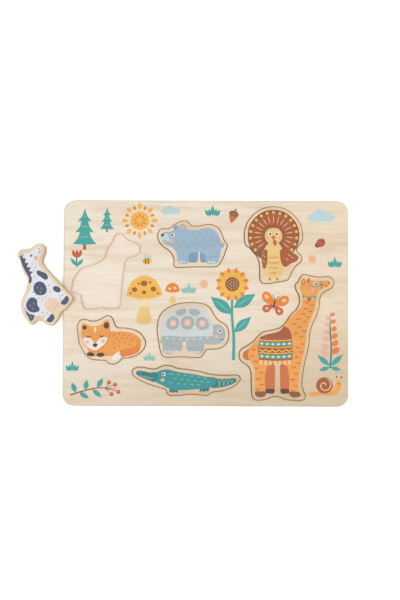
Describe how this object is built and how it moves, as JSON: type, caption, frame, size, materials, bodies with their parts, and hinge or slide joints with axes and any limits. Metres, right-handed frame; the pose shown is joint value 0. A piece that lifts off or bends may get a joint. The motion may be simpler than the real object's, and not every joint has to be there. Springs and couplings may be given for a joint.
{
  "type": "wooden lift-out puzzle",
  "caption": "Flat wooden puzzle board with animal-shaped cut-outs and thick loose pieces that lift out by hand; the pony piece lies beside the board.",
  "frame": {"origin": "centre of the board's underside", "axes": "+X along the board to the right, +Y up the picture, +Z out of the picture, up from the table that the board lies on"},
  "size_m": [0.3488, 0.217, 0.0182],
  "materials": {
    "backing_board": "sanded plywood, matt",
    "frame_board": "sanded plywood with a printed picture, matt lacquer",
    "pony_piece": "sanded plywood with a printed picture, matt lacquer",
    "bear_piece": "sanded plywood with a printed picture, matt lacquer",
    "turkey_piece": "sanded plywood with a printed picture, matt lacquer",
    "fox_piece": "sanded plywood with a printed picture, matt lacquer",
    "tortoise_piece": "sanded plywood with a printed picture, matt lacquer",
    "platypus_piece": "sanded plywood with a printed picture, matt lacquer",
    "llama_piece": "sanded plywood with a printed picture, matt lacquer"
  },
  "bodies": {
    "board": {"backing_board": "backing_board", "frame_board": "frame_board"},
    "pony": {"pony_piece": "pony_piece"},
    "bear": {"bear_piece": "bear_piece"},
    "turkey": {"turkey_piece": "turkey_piece"},
    "fox": {"fox_piece": "fox_piece"},
    "tortoise": {"tortoise_piece": "tortoise_piece"},
    "platypus": {"platypus_piece": "platypus_piece"},
    "llama": {"llama_piece": "llama_piece"}
  },
  "joints": [
    {"name": "pony_lift", "type": "slide", "parent": "board", "child": "pony", "axis": [0, 0, 1], "range_m": [0, 0.03]},
    {"name": "bear_lift", "type": "slide", "parent": "board", "child": "bear", "axis": [0, 0, 1], "range_m": [0, 0.03]},
    {"name": "turkey_lift", "type": "slide", "parent": "board", "child": "turkey", "axis": [0, 0, 1], "range_m": [0, 0.03]},
    {"name": "fox_lift", "type": "slide", "parent": "board", "child": "fox", "axis": [0, 0, 1], "range_m": [0, 0.03]},
    {"name": "tortoise_lift", "type": "slide", "parent": "board", "child": "tortoise", "axis": [0, 0, 1], "range_m": [0, 0.03]},
    {"name": "platypus_lift", "type": "slide", "parent": "board", "child": "platypus", "axis": [0, 0, 1], "range_m": [0, 0.03]},
    {"name": "llama_lift", "type": "slide", "parent": "board", "child": "llama", "axis": [0, 0, 1], "range_m": [0, 0.03]}
  ]
}
